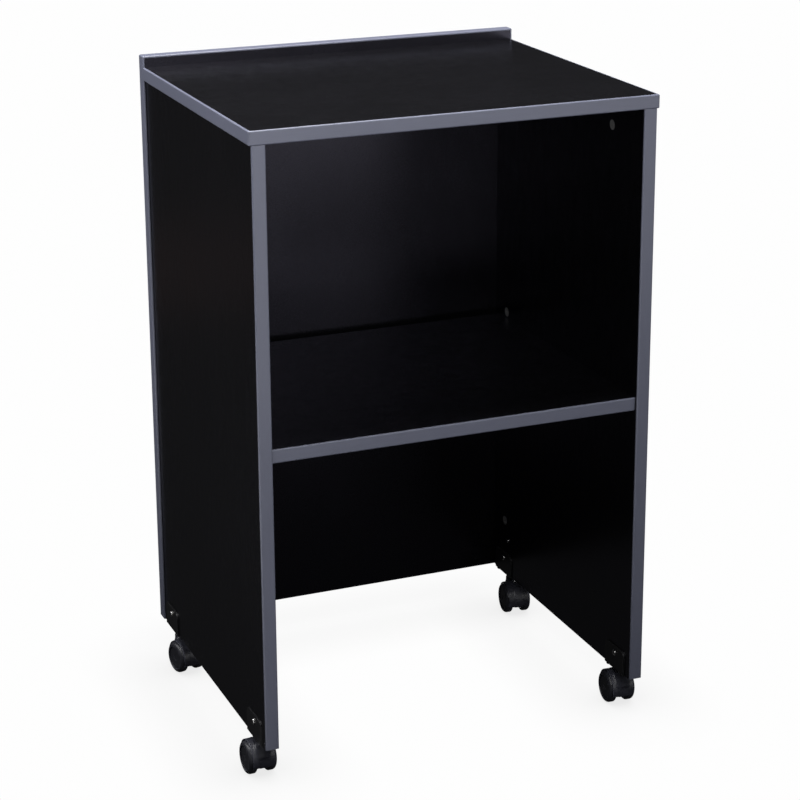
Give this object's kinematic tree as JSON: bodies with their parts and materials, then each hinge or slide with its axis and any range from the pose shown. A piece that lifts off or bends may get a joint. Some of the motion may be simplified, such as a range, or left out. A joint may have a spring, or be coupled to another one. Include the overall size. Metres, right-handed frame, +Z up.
{
  "type": "presentation lectern",
  "caption": "Mobile lectern base with a flat top, rear lip, open front, fixed shelf and swivel casters, in black laminate with grey edge bands.",
  "frame": {"origin": "on the floor, under the middle of the lectern", "axes": "+X to the right seen from the open (presenter) side, +Y towards the closed back board, +Z up"},
  "size_m": [0.6299, 0.51, 0.977],
  "materials": {
    "black_laminate": "fine-grained satin black laminate on board",
    "edge_band": "blue-grey PVC edge band, satin",
    "zinc": "die-cast zinc, bright",
    "zinc_bolt": "zinc-plated",
    "beech": "raw beech",
    "bright_steel": "nickel-plated",
    "black_steel": "black powder coat",
    "socket_steel": "zinc-plated",
    "hood_plastic": "moulded black nylon, satin",
    "wheel_nylon": "moulded black nylon, satin",
    "cap_plastic": "moulded black nylon, satin",
    "stem_steel": "zinc-plated",
    "spring_steel": "spring steel"
  },
  "bodies": {
    "root": {"back_board": "black_laminate", "back_end_band_left": "edge_band", "back_end_band_right": "edge_band", "back_top_band": "edge_band", "bracket_front_left": "black_steel", "bracket_front_right": "black_steel", "bracket_nuts": "bright_steel", "bracket_rear_left": "black_steel", "bracket_rear_right": "black_steel", "bracket_screws": "bright_steel", "cam_bolts": "zinc_bolt", "cam_discs": "zinc", "dowels": "beech", "panel_screws": "bright_steel", "shelf_board": "black_laminate", "shelf_front_band": "edge_band", "side_board_left": "black_laminate", "side_board_right": "black_laminate", "side_front_band_left": "edge_band", "side_front_band_right": "edge_band", "stem_sockets": "socket_steel", "top_board": "black_laminate", "top_end_band_left": "edge_band", "top_end_band_right": "edge_band", "top_front_band": "edge_band"},
    "swivel_front_left": {"caster_front_left_axle": "stem_steel", "caster_front_left_grip_ring": "spring_steel", "caster_front_left_hood": "hood_plastic", "caster_front_left_stem": "stem_steel"},
    "wheel_front_left_outer": {"caster_front_left_wheel_outer": "wheel_nylon", "caster_front_left_cap_outer": "cap_plastic"},
    "wheel_front_left_inner": {"caster_front_left_wheel_inner": "wheel_nylon", "caster_front_left_cap_inner": "cap_plastic"},
    "swivel_front_right": {"caster_front_right_axle": "stem_steel", "caster_front_right_grip_ring": "spring_steel", "caster_front_right_hood": "hood_plastic", "caster_front_right_stem": "stem_steel"},
    "wheel_front_right_outer": {"caster_front_right_wheel_outer": "wheel_nylon", "caster_front_right_cap_outer": "cap_plastic"},
    "wheel_front_right_inner": {"caster_front_right_wheel_inner": "wheel_nylon", "caster_front_right_cap_inner": "cap_plastic"},
    "swivel_rear_left": {"caster_rear_left_axle": "stem_steel", "caster_rear_left_grip_ring": "spring_steel", "caster_rear_left_hood": "hood_plastic", "caster_rear_left_stem": "stem_steel"},
    "wheel_rear_left_outer": {"caster_rear_left_wheel_outer": "wheel_nylon", "caster_rear_left_cap_outer": "cap_plastic"},
    "wheel_rear_left_inner": {"caster_rear_left_wheel_inner": "wheel_nylon", "caster_rear_left_cap_inner": "cap_plastic"},
    "swivel_rear_right": {"caster_rear_right_axle": "stem_steel", "caster_rear_right_grip_ring": "spring_steel", "caster_rear_right_hood": "hood_plastic", "caster_rear_right_stem": "stem_steel"},
    "wheel_rear_right_outer": {"caster_rear_right_wheel_outer": "wheel_nylon", "caster_rear_right_cap_outer": "cap_plastic"},
    "wheel_rear_right_inner": {"caster_rear_right_wheel_inner": "wheel_nylon", "caster_rear_right_cap_inner": "cap_plastic"}
  },
  "joints": [
    {"name": "front_left_swivel", "type": "hinge", "parent": "root", "child": "swivel_front_left", "pos_m": [-0.2934, -0.216, 0.07], "axis": [0, 0, 1], "continuous": true},
    {"name": "front_left_outer_roll", "type": "hinge", "parent": "swivel_front_left", "child": "wheel_front_left_outer", "pos_m": [-0.2941, -0.19601, 0.0245], "axis": [0.9994, 0.0349, 0], "continuous": true},
    {"name": "front_left_inner_roll", "type": "hinge", "parent": "swivel_front_left", "child": "wheel_front_left_inner", "pos_m": [-0.2941, -0.19601, 0.0245], "axis": [0.9994, 0.0349, 0], "continuous": true},
    {"name": "front_right_swivel", "type": "hinge", "parent": "root", "child": "swivel_front_right", "pos_m": [0.2894, -0.216, 0.07], "axis": [0, 0, 1], "continuous": true},
    {"name": "front_right_outer_roll", "type": "hinge", "parent": "swivel_front_right", "child": "wheel_front_right_outer", "pos_m": [0.2908, -0.19605, 0.0245], "axis": [0.9976, -0.0698, 0], "continuous": true},
    {"name": "front_right_inner_roll", "type": "hinge", "parent": "swivel_front_right", "child": "wheel_front_right_inner", "pos_m": [0.2908, -0.19605, 0.0245], "axis": [0.9976, -0.0698, 0], "continuous": true},
    {"name": "rear_left_swivel", "type": "hinge", "parent": "root", "child": "swivel_rear_left", "pos_m": [-0.2934, 0.1865, 0.07], "axis": [0, 0, 1], "continuous": true},
    {"name": "rear_left_outer_roll", "type": "hinge", "parent": "swivel_rear_left", "child": "wheel_rear_left_outer", "pos_m": [-0.28958, 0.16687, 0.0245], "axis": [0.9816, 0.1908, 0], "continuous": true},
    {"name": "rear_left_inner_roll", "type": "hinge", "parent": "swivel_rear_left", "child": "wheel_rear_left_inner", "pos_m": [-0.28958, 0.16687, 0.0245], "axis": [0.9816, 0.1908, 0], "continuous": true},
    {"name": "rear_right_swivel", "type": "hinge", "parent": "root", "child": "swivel_rear_right", "pos_m": [0.2894, 0.1865, 0.07], "axis": [0, 0, 1], "continuous": true},
    {"name": "rear_right_outer_roll", "type": "hinge", "parent": "swivel_rear_right", "child": "wheel_rear_right_outer", "pos_m": [0.28696, 0.16665, 0.0245], "axis": [0.9925, -0.1219, 0], "continuous": true},
    {"name": "rear_right_inner_roll", "type": "hinge", "parent": "swivel_rear_right", "child": "wheel_rear_right_inner", "pos_m": [0.28696, 0.16665, 0.0245], "axis": [0.9925, -0.1219, 0], "continuous": true}
  ]
}
